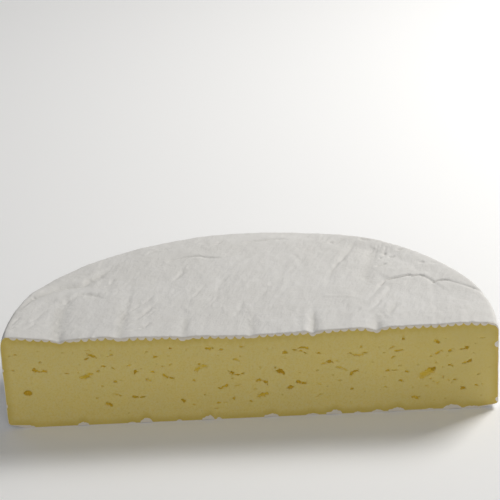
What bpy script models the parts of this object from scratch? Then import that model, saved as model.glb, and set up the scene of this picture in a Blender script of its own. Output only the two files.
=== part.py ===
"""Half wheel of a large soft cheese with a white rind, cut straight through the middle.

One closed solid. The cut face looks along -Y, the round rim is at the back, the
base lies on z = 0, and the origin is under the middle of the half wheel's box.
Lengths are in metres.
"""

import math

import bmesh
import bpy
from mathutils import Vector

# Wheel
DIAMETER = 0.250
HEIGHT = 0.0485  # base to the plateau of the top
SHOULDER_WIDTH = 0.0036  # tight upper corner of the rim, measured inwards
SHOULDER_DROP = 0.0048  # the same corner, measured down
SIDE_TAPER = 0.0004  # how far the side draws in from the shoulder to the foot
FOOT_WIDTH = 0.0092  # shallow bevel under the lower edge, measured inwards
FOOT_RISE = 0.0025  # the same bevel, measured up
FOOT_ROUND = 0.0014  # soft corner where the side turns into the bevel
RIM_SLOPE_WIDTH = 0.017  # the top falls over this last band inside the rim
RIM_SLOPE_DROP = 0.0002
BACK_SLOPE_DROP = 0.0014  # how much further it falls along the back of the rim
BACK_SLOPE_FROM, BACK_SLOPE_TO = 66.0, 148.0  # degrees round from the right end
RIM_RAISE = 0.0009  # the skin outside the folds stands higher, out to the rim
RIM_RAISE_WIDTH = 0.011
RIM_RAISED = ((10.0, 70.0), (124.0, 174.0))  # degrees round, with ends that fade
FULLER = 0.0095  # the wheel bulges towards its diagonals by this share of its radius
FULLER_SPANS = ((0.0, 12.0, 56.0, 72.0), (112.0, 128.0, 158.0, 178.0))
SWELL_START = 0.095  # the left end of the top swells from here out to the rim
SWELL_WIDTH = 0.028
SWELL_HEIGHT = 0.0034  # at the cut
SWELL_REACH = 0.018  # how fast it sinks behind the cut, down to the swell of the rim
RIM_SWELL_HEIGHT = 0.0012
RIM_SWELL_END = 0.064

# Marks of the ripening rack: soft grooves in the top, channels in the base
RACK_PITCH = 0.0315
TOP_GROOVE_FIRST = -0.0945
TOP_GROOVE_COUNT = 7
TOP_GROOVE_WIDTH = 0.0042
TOP_GROOVE_DEPTHS = (0.0026, 0.0016, 0.0013, 0.0010, 0.0015, 0.0019, 0.0007)
TOP_GROOVE_REACH = 0.060  # how far back from the cut they fade
BASE_CHANNEL_FIRST = -0.0860
BASE_CHANNEL_COUNT = 7
BASE_CHANNEL_WIDTH = 0.0052
BASE_CHANNEL_DEPTH = 0.0005

# Folds of the skin that run round inside the rim and drift outwards: angle and
# radius where each starts and ends, depth of its line and width of its foot
FOLDS = (
    (38.0, 0.0900, 14.0, 0.1235, 0.0014, 0.0052),
    (132.0, 0.1110, 157.0, 0.1215, 0.0008, 0.0065),
    (58.0, 0.1080, 74.0, 0.1130, 0.0007, 0.0055),
)

# Openings in the cut face: across, up, width, height, depth in mm, tilt in degrees
EYES = (
    (-113, 20, 4.4, 3.0, 2.6, 0),
    (-106, 32.5, 6.5, 1.8, 1.6, -8),
    (-83, 28, 8.0, 3.4, 1.0, 6),
    (-79, 39.5, 4.4, 1.6, 1.3, -20),
    (-72.5, 11.5, 3.8, 2.4, 2.4, -10),
    (-57.5, 29.5, 2.8, 2.3, 2.2, 0),
    (-57, 15, 6.2, 1.6, 1.5, 0),
    (-42, 26, 6.2, 2.0, 1.5, -28),
    (-35, 12, 2.4, 2.0, 2.0, -30),
    (-25, 30, 7.5, 4.0, 0.9, 8),
    (-20.5, 40.5, 4.6, 1.8, 1.2, 0),
    (-14, 18.5, 5.4, 1.8, 1.4, 22),
    (-7, 26.5, 6.0, 2.0, 1.6, -6),
    (6, 21, 5.4, 1.8, 1.5, -30),
    (6, 13, 5.6, 2.8, 1.2, 0),
    (15, 26, 4.2, 3.0, 2.8, 0),
    (20, 16.5, 3.2, 3.0, 2.4, 0),
    (25, 19.5, 5.2, 1.8, 1.6, -12),
    (26.5, 38, 5.4, 1.8, 1.2, -14),
    (40, 30, 3.2, 1.7, 1.8, 0),
    (52, 24, 4.4, 1.8, 1.6, 24),
    (54.5, 33.5, 9.5, 1.8, 1.2, 0),
    (82, 8.5, 4.2, 2.2, 1.6, -10),
    (88.5, 22, 8.4, 5.2, 1.3, 10),
    (94, 38.5, 2.6, 2.2, 2.0, 0),
    (106.5, 12, 3.0, 2.0, 2.2, 0),
    (108.5, 34.5, 3.4, 2.0, 2.0, 8),
    (110, 27, 3.8, 2.0, 2.0, 8),
)

RADIUS = DIAMETER / 2
CUT_Y = -RADIUS / 2  # the cut runs through the wheel's middle
GRID_ACROSS = 90
GRID_BACK = 20
SHOULDER_RINGS = 4
SIDE_RINGS = 3
CORNER_RINGS = 2


def smooth(t):
    t = min(1.0, max(0.0, t))
    return t * t * (3.0 - 2.0 * t)


def groove_line(index, back):
    """Where a groove runs: a straight mark that drifts a little as it goes back."""
    start = TOP_GROOVE_FIRST + index * RACK_PITCH
    return start + 0.0012 * math.sin(1.7 * index + 0.4) + back * 0.07 * math.sin(index)


def relief(x, back):
    """Rise of the top above the plateau; back is the distance behind the cut."""
    r = math.hypot(x, back)
    angle = math.degrees(math.atan2(back, x))
    behind = smooth((angle - BACK_SLOPE_FROM) / 14.0) * smooth((BACK_SLOPE_TO - angle) / 14.0)
    rim_band = smooth((r - (RADIUS - RIM_SLOPE_WIDTH)) / RIM_SLOPE_WIDTH)
    rise = -(RIM_SLOPE_DROP + BACK_SLOPE_DROP * behind) * rim_band
    raised = sum(smooth((angle - a) / 12.0) * smooth((b - angle) / 12.0) for a, b in RIM_RAISED)
    rise += RIM_RAISE * raised * smooth((r - (RADIUS - SHOULDER_WIDTH - RIM_RAISE_WIDTH)) / RIM_RAISE_WIDTH)
    swell = (SWELL_HEIGHT - RIM_SWELL_HEIGHT) * math.exp(-((back / SWELL_REACH) ** 2))
    swell += RIM_SWELL_HEIGHT * smooth((RIM_SWELL_END - back) / 0.014)
    # measured from the rim inwards it keeps the same width all the way back
    outwards = (r - SWELL_START) / SWELL_WIDTH
    if x < 0.0:
        rise += swell * min(1.0, max(0.0, outwards)) ** 1.2
    for i, depth in enumerate(TOP_GROOVE_DEPTHS[:TOP_GROOVE_COUNT]):
        across = (x - groove_line(i, back)) / TOP_GROOVE_WIDTH
        reach = math.exp(-((back / TOP_GROOVE_REACH) ** 2))
        rise -= depth * math.exp(-across * across) * reach
    for start, start_r, end, end_r, depth, foot in FOLDS:
        along = (angle - start) / (end - start)
        if 0.0 < along < 1.0:
            ends = smooth(along * 5.0) * smooth((1.0 - along) * 5.0)
            off = (r - (start_r + (end_r - start_r) * along)) / foot
            # steep towards the rim, a long slope towards the middle
            width = 1.0 if off > 0 else 2.2
            rise -= depth * ends * math.exp(-((off / width) ** 2))
    # the plateau itself sinks and swells softly
    rise += 0.0004 * math.sin(x / 0.019 + 0.8) * math.cos(back / 0.024)
    return rise


def wobble(angle):
    """The wheel is pressed by hand and not quite round."""
    degrees = math.degrees(angle)
    full = sum(smooth((degrees - a) / (b - a)) * smooth((d - degrees) / (d - c)) for a, b, c, d in FULLER_SPANS)
    return 1.0 + 0.0016 * math.sin(3 * angle + 0.5) + 0.0011 * math.sin(7 * angle) + FULLER * full


def half_disc(u, v, radius):
    """Carries the rectangle u in -1..1, v in 0..1 onto the half disc."""
    x = radius * u * math.sqrt(1.0 - v * v / 2.0)
    back = radius * v * math.sqrt(1.0 - u * u / 2.0)
    return x, back


def rim_profile():
    """Steps down the rim: distance in from the full radius, height, share of the relief."""
    steps = []
    for i in range(1, SHOULDER_RINGS + 1):
        a = math.pi / 2 * i / SHOULDER_RINGS
        inwards = SHOULDER_WIDTH * (1.0 - math.sin(a))
        height = HEIGHT - SHOULDER_DROP * (1.0 - math.cos(a))
        steps.append((inwards, height, math.cos(a)))
    top, low = HEIGHT - SHOULDER_DROP, FOOT_RISE + FOOT_ROUND
    for i in range(1, SIDE_RINGS + 1):
        t = i / SIDE_RINGS
        # fullest just under the shoulder, then drawing in a little towards the foot
        steps.append((SIDE_TAPER * t**1.5, top + (low - top) * t, 0.0))
    end = FOOT_RISE * (1.0 - FOOT_ROUND / FOOT_WIDTH)
    for i in range(1, CORNER_RINGS + 1):
        t = i / CORNER_RINGS
        height = low * (1.0 - t) ** 2 + 2.0 * t * (1.0 - t) * FOOT_RISE + t * t * end
        steps.append((SIDE_TAPER + FOOT_ROUND * t * t, height, 0.0))
    steps.append((SIDE_TAPER + FOOT_WIDTH, 0.0, 0.0))
    return steps


def cheese_body():
    """Top from a grid bent into a half disc, rim from rings drawn down, base and cut closed."""
    bm = bmesh.new()
    bmesh.ops.create_grid(bm, x_segments=GRID_ACROSS, y_segments=GRID_BACK, size=1.0)
    inner = RADIUS - SHOULDER_WIDTH
    rim = []
    for vert in bm.verts:
        u, v = vert.co.x, (vert.co.y + 1.0) / 2.0
        x, back = half_disc(u, v, inner)
        on_rim = abs(u) > 1.0 - 1e-6 or v > 1.0 - 1e-6
        if on_rim:
            angle = math.atan2(back, x)
            rim.append((angle, vert, relief(x, back)))
        round_it = wobble(math.atan2(back, x)) if math.hypot(x, back) > 1e-9 else 1.0
        share = math.hypot(x, back) / inner
        grow = 1.0 + (round_it - 1.0) * share
        vert.co = (x * grow, CUT_Y + back * grow, HEIGHT + relief(x, back))
    rim.sort(key=lambda entry: entry[0])

    upper = [entry[1] for entry in rim]
    for inwards, height, share in rim_profile():
        lower = []
        for angle, _, rise in rim:
            r = (RADIUS - inwards) * wobble(angle)
            back = max(0.0, r * math.sin(angle))
            z = height + rise * share
            lower.append(bm.verts.new((r * math.cos(angle), CUT_Y + back, z)))
        for a, b, c, d in zip(upper, upper[1:], lower[1:], lower):
            bm.faces.new((a, b, c, d))
        upper = lower
    # what is still open is one loop over the cut and one over the base
    base_edge = bm.edges.new((upper[0], upper[-1]))
    bmesh.ops.holes_fill(bm, edges=[e for e in bm.edges if e.is_boundary or e == base_edge], sides=0)
    bmesh.ops.recalc_face_normals(bm, faces=bm.faces)

    mesh = bpy.data.meshes.new("camembert_half")
    bm.to_mesh(mesh)
    bm.free()
    return mesh


def ellipsoid(name, width, depth, height, segments, rings):
    bm = bmesh.new()
    bmesh.ops.create_uvsphere(bm, u_segments=segments, v_segments=rings, radius=0.5)
    for vert in bm.verts:
        vert.co = (vert.co.x * width, vert.co.y * depth, vert.co.z * height)
    mesh = bpy.data.meshes.new(name)
    bm.to_mesh(mesh)
    bm.free()
    return mesh


def channel(name, width, depth, length):
    """A rod of flattened round section that runs front to back."""
    bm = bmesh.new()
    bmesh.ops.create_cone(
        bm, cap_ends=True, segments=12, radius1=0.5, radius2=0.5, depth=1.0
    )
    for vert in bm.verts:
        x, y, z = vert.co
        vert.co = (x * width, z * length, y * 2.0 * depth)
    bmesh.ops.recalc_face_normals(bm, faces=bm.faces)
    mesh = bpy.data.meshes.new(name)
    bm.to_mesh(mesh)
    bm.free()
    return mesh


def material():
    mat = bpy.data.materials.new("paste")
    mat.use_nodes = True
    shader = mat.node_tree.nodes["Principled BSDF"]
    shader.inputs["Base Color"].default_value = (0.80, 0.65, 0.21, 1.0)
    shader.inputs["Roughness"].default_value = 0.55
    shader.inputs["Metallic"].default_value = 0.0
    return mat


def centre(mesh):
    """Puts the middle of the box's footprint over the origin and its base at zero."""
    low = [min(v.co[i] for v in mesh.vertices) for i in range(3)]
    high = [max(v.co[i] for v in mesh.vertices) for i in range(3)]
    shift = Vector((-(low[0] + high[0]) / 2, -(low[1] + high[1]) / 2, -low[2]))
    for v in mesh.vertices:
        v.co += shift
    return shift


def build():
    for ob in list(bpy.data.objects):
        bpy.data.objects.remove(ob, do_unlink=True)
    parts = bpy.data.collections.new("camembert")
    cutters = bpy.data.collections.new("camembert_cutters")
    for collection in (parts, cutters):
        bpy.context.scene.collection.children.link(collection)

    cheese = bpy.data.objects.new("camembert_half", cheese_body())
    cheese.data.materials.append(material())
    cut_y = CUT_Y + centre(cheese.data).y
    parts.objects.link(cheese)

    made = []
    for i, (x, z, width, height, depth, tilt) in enumerate(EYES):
        name = f"eye_{i:02d}"
        eye = bpy.data.objects.new(
            name,
            ellipsoid(name, width / 1000, 2 * depth / 1000, height / 1000, 10, 6),
        )
        eye.location = (x / 1000, cut_y + 0.1 * depth / 1000, z / 1000)
        eye.rotation_euler = (0.0, -math.radians(tilt), 0.0)
        made.append(eye)
    for i in range(BASE_CHANNEL_COUNT):
        name = f"base_channel_{i}"
        x = BASE_CHANNEL_FIRST + i * RACK_PITCH
        rod = bpy.data.objects.new(
            name,
            channel(name, BASE_CHANNEL_WIDTH, BASE_CHANNEL_DEPTH, 1.3 * DIAMETER),
        )
        rod.location = (x, 0.0, 0.0)
        made.append(rod)
    for cutter in made:
        cutter.hide_render = True
        cutter.display_type = "WIRE"
        cutters.objects.link(cutter)

    cut = cheese.modifiers.new("eyes and channels", "BOOLEAN")
    cut.operation = "DIFFERENCE"
    cut.operand_type = "COLLECTION"
    cut.collection = cutters
    cut.solver = "EXACT"

    cheese.data.shade_smooth()
    cheese.data.set_sharp_from_angle(angle=math.radians(35))


build()
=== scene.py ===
"""Half wheel of a large soft cheese with a bloomy white rind, on a plain pale floor.

The visible cheese is one closed mesh that stands for the CAD node: the creased top,
the rim, the channelled base and the cut face with its real eyes. Lengths inside this
script are in millimetres until the mesh is made; x runs along the cut, d is the
distance behind the cut, z is up.
"""

import math

import bmesh
import bpy
import numpy as np
from mathutils import Matrix, Vector
from mathutils.geometry import delaunay_2d_cdt


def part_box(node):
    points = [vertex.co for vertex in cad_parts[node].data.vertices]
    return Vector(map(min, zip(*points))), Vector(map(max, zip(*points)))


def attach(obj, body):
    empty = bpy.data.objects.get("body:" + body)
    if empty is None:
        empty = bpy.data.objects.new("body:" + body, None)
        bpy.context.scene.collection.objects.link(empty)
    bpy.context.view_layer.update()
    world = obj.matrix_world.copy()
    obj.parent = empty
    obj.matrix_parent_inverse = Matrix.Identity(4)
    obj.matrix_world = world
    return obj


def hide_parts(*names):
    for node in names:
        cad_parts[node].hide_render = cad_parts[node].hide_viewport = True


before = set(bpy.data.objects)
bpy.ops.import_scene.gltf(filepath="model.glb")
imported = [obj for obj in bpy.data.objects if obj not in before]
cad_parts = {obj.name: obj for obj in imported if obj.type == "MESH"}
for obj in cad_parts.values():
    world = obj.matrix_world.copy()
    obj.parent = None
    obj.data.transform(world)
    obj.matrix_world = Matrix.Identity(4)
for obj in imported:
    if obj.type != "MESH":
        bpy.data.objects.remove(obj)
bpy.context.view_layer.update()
node_low, node_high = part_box("camembert_half")
CUT = list(node_low)[1] * 1000.0  # the plane of the cut face

# ---------------------------------------------------------------- wheel
RADIUS = 125.0
HEIGHT = 48.5
SHOULDER_WIDTH, SHOULDER_DROP = 3.6, 4.8
SIDE_TAPER = 0.4
FOOT_WIDTH, FOOT_RISE, FOOT_ROUND = 9.2, 2.5, 1.4
RIM_SLOPE_WIDTH, RIM_SLOPE_DROP, BACK_SLOPE_DROP = 17.0, 0.2, 1.4
RIM_RAISE, RIM_RAISE_WIDTH = 0.9, 11.0
RIM_RAISED = ((10.0, 70.0), (124.0, 174.0))
FULLER = 0.0095
FULLER_SPANS = ((0.0, 12.0, 56.0, 72.0), (112.0, 128.0, 158.0, 178.0))
INNER = RADIUS - SHOULDER_WIDTH
RACK_PITCH = 31.5
CHANNEL_FIRST, CHANNEL_COUNT = -86.0, 7
CHANNEL_HALF, CHANNEL_DEPTH = 2.6, 0.3

AROUND = 440  # steps along the rim
rng = np.random.default_rng(7)


def smooth(t):
    t = np.clip(t, 0.0, 1.0)
    return t * t * (3.0 - 2.0 * t)


def noise2(x, y, seed=0):
    """Gradient noise, about -0.7 to 0.7."""
    x, y = np.broadcast_arrays(np.asarray(x, float), np.asarray(y, float))
    xi, yi = np.floor(x).astype(np.int64), np.floor(y).astype(np.int64)
    xf, yf = x - xi, y - yi

    def corner(ix, iy, fx, fy):
        h = (ix * 374761393 + iy * 668265263 + seed * 1442695041) & 0xFFFFFFFF
        h = ((h ^ (h >> 13)) * 1274126177) & 0xFFFFFFFF
        a = ((h ^ (h >> 16)) & 0xFFFF) / 65536.0 * 2.0 * np.pi
        return np.cos(a) * fx + np.sin(a) * fy

    u = xf * xf * xf * (xf * (xf * 6 - 15) + 10)
    v = yf * yf * yf * (yf * (yf * 6 - 15) + 10)
    low = corner(xi, yi, xf, yf) * (1 - u) + corner(xi + 1, yi, xf - 1, yf) * u
    top = corner(xi, yi + 1, xf, yf - 1) * (1 - u) + corner(xi + 1, yi + 1, xf - 1, yf - 1) * u
    return low * (1 - v) + top * v


def fractal(x, y, seed, octaves=3, gain=0.5):
    total, size = 0.0, 1.0
    for k in range(octaves):
        total = total + size * noise2(x * 2**k, y * 2**k, seed + 17 * k)
        size *= gain
    return total


# ---------------------------------------------------------------- creases of the top
def rounded_path(points, step=0.8):
    """A smooth line through the points."""
    p = np.array(points, float)
    p = np.vstack([2 * p[0] - p[1], p, 2 * p[-1] - p[-2]])
    out = []
    for a, b, c, e in zip(p, p[1:], p[2:], p[3:]):
        n = max(2, int(np.hypot(*(c - b)) / step))
        t = np.linspace(0, 1, n, endpoint=False)[:, None]
        out.append(
            0.5
            * (
                2 * b
                + (c - a) * t
                + (2 * a - 5 * b + 4 * c - e) * t**2
                + (3 * b - a - 3 * c + e) * t**3
            )
        )
    out.append(p[-2][None])
    return np.vstack(out)


def beside(x, d, points, reach):
    """For the points within reach of a path: their indices, signed distance and share of the way along."""
    path = rounded_path(points)
    near = np.flatnonzero(
        (x > path[:, 0].min() - reach)
        & (x < path[:, 0].max() + reach)
        & (d > path[:, 1].min() - reach)
        & (d < path[:, 1].max() + reach)
    )
    px, pd = x[near], d[near]
    best = np.full(len(near), 1e9)
    side = np.ones(len(near))
    along = np.zeros(len(near))
    lengths = np.hypot(*np.diff(path, axis=0).T)
    total, done = lengths.sum(), 0.0
    for (ax, ad), (bx, bd), length in zip(path, path[1:], lengths):
        ex, ed = bx - ax, bd - ad
        t = np.clip(((px - ax) * ex + (pd - ad) * ed) / max(length**2, 1e-9), 0, 1)
        ox, od = px - ax - t * ex, pd - ad - t * ed
        dist = np.hypot(ox, od)
        closer = dist < best
        best[closer] = dist[closer]
        side[closer] = np.where(ex * (pd - ad) - ed * (px - ax) > 0, 1.0, -1.0)[closer]
        along[closer] = ((done + t * length) / total)[closer]
        done += length
    return near, best * side, along


# Each crease: its path (x, d), depth at its start and end, half width, how its ends
# fade, and a lip: its height, distance to the left of the line (minus for the right)
# and half width. Along each crease the rind is also darkened, by a given share or by one
# that follows the crease's depth: painted shade in the crease.
CREASES = [
    # rack grooves that open at the cut, with the swells beside them
    dict(path=[(-94.4, -4), (-95.4, 4), (-95.9, 12), (-95.8, 20), (-95.3, 29), (-94.9, 37), (-94.6, 44), (-94.0, 52), (-95.2, 60)], depth=(0.76, 0.5), width=3.8, fade=(0, 0.25)),
    dict(path=[(-94.4, -4), (-94.9, 2), (-95.2, 7)], depth=(0.2, 0.16), width=3.4, fade=(0, 0.6)),
    # this line barely cuts; it paints shade along the groove's floor
    dict(path=[(-95.6, -4), (-96.7, 6), (-97.2, 16), (-96.8, 28), (-96.2, 38), (-95.8, 46)], depth=(0.02, 0.02), width=3.0, fade=(0, 0.3), painted_shade=1.0),
    dict(path=[(-94.4, -4), (-95.4, 4), (-95.9, 12), (-95.8, 20)], depth=(0.75, 0.15), width=2.7, fade=(0, 0.9)),
    dict(path=[(-64.4, -4), (-64.0, 3), (-63.5, 11), (-63.2, 18), (-63.0, 26), (-62.1, 35), (-61.4, 45), (-62.2, 56), (-63, 72)], depth=(0.5, 0.16), width=3.3, fade=(0, 0.45)),
    dict(path=[(-64.4, -4), (-64.1, 2), (-63.9, 7)], depth=(0.34, 0.26), width=3.0, fade=(0, 0.6)),
    # this line barely cuts; it paints shade along the groove's floor
    dict(path=[(-65.2, -4), (-64.8, 6), (-64.2, 16), (-63.6, 26), (-62.8, 36)], depth=(0.02, 0.02), width=2.6, fade=(0, 0.3), painted_shade=0.9),
    dict(path=[(-63.9, 13), (-63.2, 18.5), (-62.7, 23)], depth=(0.22, 0.22), width=1.9, fade=(0.4, 0.4)),
    dict(path=[(-70.6, -3), (-69.4, 2.4), (-67.4, 13.2), (-66.3, 24.3), (-65.4, 31.8), (-64.2, 39.3), (-63.4, 47)], depth=(-0.16, -0.12), width=1.6, fade=(0, 0.35)),
    dict(path=[(-61.4, 17), (-60.5, 24), (-59.7, 33), (-59.6, 43), (-59.1, 56)], depth=(-0.2, -0.15), width=1.6, fade=(0.15, 0.35)),
    dict(path=[(-63.4, 10.0), (-60.8, 12.6), (-58.0, 16.4)], depth=(-0.3, -0.2), width=0.75, fade=(0.2, 0.3)),
    dict(path=[(-61.7, 8.0), (-59.5, 10.4), (-57.2, 14.0)], depth=(-0.25, -0.18), width=0.7, fade=(0.2, 0.3)),
    dict(path=[(-32.9, -4), (-32.3, 8), (-31.7, 19), (-30.2, 27)], depth=(0.8, 0.3), width=2.5, fade=(0, 0.4)),
    dict(path=[(-30.0, 5), (-28.7, 15), (-27.4, 23)], depth=(-0.22, -0.15), width=1.4, fade=(0.2, 0.4)),
    dict(path=[(0.8, -4), (1.6, 12), (0.4, 30)], depth=(0.7, 0.2), width=2.6, fade=(0, 0.5)),
    dict(path=[(32.4, -4), (32.4, 6), (33.0, 19), (33.0, 25), (33.8, 31)], depth=(1.2, 0.7), width=2.1, fade=(0, 0.65), lip=(0.35, 4.0, 2.0)),
    dict(path=[(63.2, -4), (64.2, 4), (65.2, 12), (66.2, 19), (67.8, 25)], depth=(0.9, 0.35), width=3.4, fade=(0, 0.5)),
    dict(path=[(63.2, -4), (64.2, 4), (64.8, 9)], depth=(0.95, 0.8), width=2.9, fade=(0, 0.6)),
    # this line barely cuts; it paints shade along the groove's floor
    dict(path=[(62.4, -4), (63.2, 4), (64.2, 12), (65.6, 20)], depth=(0.02, 0.02), width=3.0, fade=(0, 0.4), painted_shade=0.55),
    dict(path=[(69.8, 6), (68.5, 12.5), (66.6, 18)], depth=(0.35, 0.25), width=1.3, fade=(0.3, 0.3)),
    dict(path=[(70.0, 11), (73.3, 20.6), (77.1, 29.5)], depth=(0.55, 0.35), width=1.9, fade=(0.25, 0.4)),
    dict(path=[(94.3, -4), (94.2, 8), (94.5, 18.5), (95.3, 28), (95.2, 36.4), (95.6, 46.8)], depth=(0.18, 0.2), width=1.0, fade=(0, 0.1)),
    dict(path=[(97.3, 4), (97.0, 14), (97.6, 26), (97.8, 36)], depth=(0.12, 0.1), width=0.9, fade=(0.3, 0.3)),
    # the main fold: the skin beyond it stands a step higher, as far as the rim
    dict(path=[(72.0, 53.6), (75.0, 55.2), (77.9, 56.0), (80.5, 57.2), (84.1, 58.1)], depth=(0.1, 0.1), width=0.7, fade=(0.3, 0), step=(0.36, 22)),
    dict(path=[(67.4, 45.4), (69.1, 48.9), (70.2, 51.3), (72.0, 53.6), (75.0, 55.2), (77.9, 56.0), (80.5, 57.2), (84.1, 58.1), (85.0, 58.2)], depth=(0.65, 1.1), width=0.8, fade=(0.2, 0.05)),
    dict(path=[(84.9, 56.6), (86.7, 56.8), (89.0, 57.2), (91.5, 55.0), (93.5, 52.4), (94.9, 49.5), (96.0, 47.6)], depth=(0.8, 0.3), width=0.75, fade=(0.02, 0), step=(0.34, 22)),
    dict(path=[(95.6, 47.5), (98.3, 49.0), (101.0, 49.4), (103.7, 48.1), (106.0, 46.2)], depth=(0.75, 0.3), width=0.7, fade=(0, 0.5)),
    dict(path=[(96.0, 47.6), (98.3, 49.0), (101.0, 49.4), (103.7, 48.1), (107.0, 45.5), (110.1, 42.4), (112.7, 40.0), (115.2, 38.4), (117.4, 36.8), (119.3, 34.8), (120.6, 32.0)], depth=(0.42, 0.26), width=0.65, fade=(0, 0.08), step=(0.16, 18)),
    dict(path=[(112.7, 39.8), (115.2, 38.2), (117.4, 36.4), (119.6, 33.8), (121.4, 30.4), (122.6, 26.8)], depth=(0.3, 0.8), width=0.95, fade=(0.25, 0.1)),
    dict(path=[(84.4, 57.8), (85.5, 59.8), (86.4, 61.8)], depth=(0.15, 0.35), width=0.6, fade=(0.3, 0.5)),
    # the pleat that drops from it towards the cut: a dark line, a ridge, a dark line
    dict(path=[(70.6, 51.6), (68.7, 49.3), (67.1, 43.1), (64.7, 37.4), (61.9, 31.8)], depth=(0.38, 0.2), width=1.3, fade=(0.15, 0.4)),
    dict(path=[(72.1, 46.1), (70.3, 42.8), (68.9, 38.9), (66.5, 35.7), (64.5, 30.9), (61.6, 26.3), (59.0, 22.6), (56.0, 19.3)], depth=(-0.42, -0.24), width=1.7, fade=(0.12, 0.35)),
    dict(path=[(74.2, 46.8), (72.6, 41.9), (70.8, 36.4), (67.8, 30.3), (64.2, 22.6), (59.8, 16.2), (54.4, 8.3)], depth=(0.32, 0.16), width=1.2, fade=(0.12, 0.35)),
    dict(path=[(68.0, 31.4), (65.7, 26.3), (62.4, 20.2)], depth=(0.28, 0.18), width=0.9, fade=(0.25, 0.35)),
    dict(path=[(36, 38.9), (42, 37.9), (48.7, 37.0), (55.9, 34.2), (60.9, 34.4)], depth=(-0.28, -0.2), width=1.0, fade=(0.2, 0.3)),
    # long soft creases behind
    dict(path=[(68.6, 98.5), (66.0, 85.8), (63.8, 71.9), (61.5, 63.5), (61.9, 51.5), (63.7, 42.5)], depth=(0.75, 0.55), width=3.6, fade=(0.2, 0.3)),
    dict(path=[(58.4, 103.5), (55.9, 95.8), (53.2, 87.2), (49.8, 80.4), (45.7, 72.1), (43.1, 62), (39.6, 46)], depth=(0.42, 0.3), width=1.5, fade=(0.15, 0.3)),
    dict(path=[(53.4, 87.5), (51.4, 84.0), (49.2, 79.2), (45.0, 70.2)], depth=(0.22, 0.2), width=1.4, fade=(0.25, 0.3)),
    dict(path=[(51.8, 94.5), (47.8, 85.1), (44.0, 76.0)], depth=(-0.18, -0.14), width=1.5, fade=(0.3, 0.3)),
    dict(path=[(43.5, 104.4), (46.7, 100.9), (50.1, 103.3), (53.9, 106.7)], depth=(0.42, 0.5), width=1.0, fade=(0.2, 0.3)),
    dict(path=[(59.6, 105.8), (63.1, 103.0), (67.0, 102.4)], depth=(0.7, 0.6), width=1.4, fade=(0.3, 0.3)),
    # scuffs behind the fold
    dict(path=[(67.9, 93.8), (67.1, 91.0), (66.2, 88.4)], depth=(0.45, 0.4), width=1.0, fade=(0.3, 0.4)),
    dict(path=[(72.0, 86.4), (72.8, 85.1), (73.8, 84.0)], depth=(0.6, 0.5), width=0.9, fade=(0.4, 0.4)),
    dict(path=[(79.2, 87.4), (80.8, 88.2), (82.4, 88.9), (84.2, 90.2)], depth=(0.75, 0.5), width=1.0, fade=(0.3, 0.4)),
    dict(path=[(74.0, 81.8), (76.4, 80.9), (78.9, 81.3)], depth=(0.7, 0.6), width=0.85, fade=(0.35, 0.35)),
    dict(path=[(69.8, 80.6), (71.6, 79.6)], depth=(0.5, 0.4), width=0.8, fade=(0.4, 0.4)),
    dict(path=[(67.0, 69.8), (70.2, 71.4), (73.6, 73.0)], depth=(0.65, 0.55), width=1.1, fade=(0.3, 0.3)),
    dict(path=[(89.4, 72.4), (91.6, 71.6), (94.0, 71.3)], depth=(0.35, 0.3), width=1.1, fade=(0.3, 0.3)),
    dict(path=[(70.1, 97.2), (68.4, 88), (66.6, 78)], depth=(0.32, 0.28), width=0.8, fade=(0.2, 0.3)),
    dict(path=[(74.4, 94.6), (73.2, 88.5), (72.3, 82)], depth=(0.34, 0.26), width=0.75, fade=(0.2, 0.3)),
    dict(path=[(72.6, 98.2), (71.2, 93.5), (70.4, 89.5)], depth=(0.3, 0.2), width=0.7, fade=(0.2, 0.3)),
    dict(path=[(76.6, 92.6), (75.6, 87.5), (75.4, 83.6)], depth=(0.26, 0.2), width=0.7, fade=(0.2, 0.3)),
    dict(path=[(95.0, 70.5), (98.5, 70.0), (101.5, 67.8)], depth=(0.3, 0.2), width=1.2, fade=(0.3, 0.3)),
    # left: the arched fold, the valley inside the rim and the wrinkles beside it
    dict(path=[(-95.0, 40.5), (-92.2, 45.0), (-89.6, 48.7), (-86.3, 51.4), (-82.0, 51.3), (-77.5, 47.8), (-72.6, 41.0)], depth=(0.6, 0.2), width=1.6, fade=(0.1, 0.5), lip=(0.28, 3.6, 2.8)),
    dict(path=[(-117.5, 35.0), (-111.8, 45.6), (-107.0, 50.9), (-100.5, 57.4), (-94.6, 60.5), (-89.4, 62.0), (-85.1, 64.2), (-81.1, 70.1), (-76.1, 76.6), (-72.3, 80.6), (-67.5, 88.0)], depth=(0.75, 1.0), width=2.4, fade=(0.15, 0.25), lip=(0.55, 5.4, 3.6)),
    dict(path=[(-111.6, 47.2), (-110.6, 48.6), (-109.8, 49.6)], depth=(0.55, 0.5), width=0.9, fade=(0.4, 0.4)),
    dict(path=[(-83.0, 65.4), (-78.5, 69.7), (-74.8, 74.0)], depth=(0.35, 0.28), width=0.9, fade=(0.25, 0.3)),
    dict(path=[(-78.6, 63.8), (-75.4, 67.0), (-72.6, 71.4)], depth=(0.28, 0.2), width=1.0, fade=(0.3, 0.3)),
    dict(path=[(-76.5, 58.0), (-72.6, 62.0), (-69.8, 70.0)], depth=(0.35, 0.25), width=1.2, fade=(0.3, 0.3)),
    dict(path=[(-55.0, 8.0), (-52.2, 12.0), (-49.2, 17.0)], depth=(0.65, 0.5), width=1.0, fade=(0.25, 0.3)),
    dict(path=[(-59.2, 6.0), (-56.6, 8.8), (-53.4, 12.6)], depth=(0.55, 0.4), width=0.9, fade=(0.25, 0.3)),
    dict(path=[(-57.5, 18.2), (-54.3, 24.0), (-51.8, 28.5), (-47.4, 38.6)], depth=(0.65, 0.45), width=1.05, fade=(0.2, 0.35)),
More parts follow.
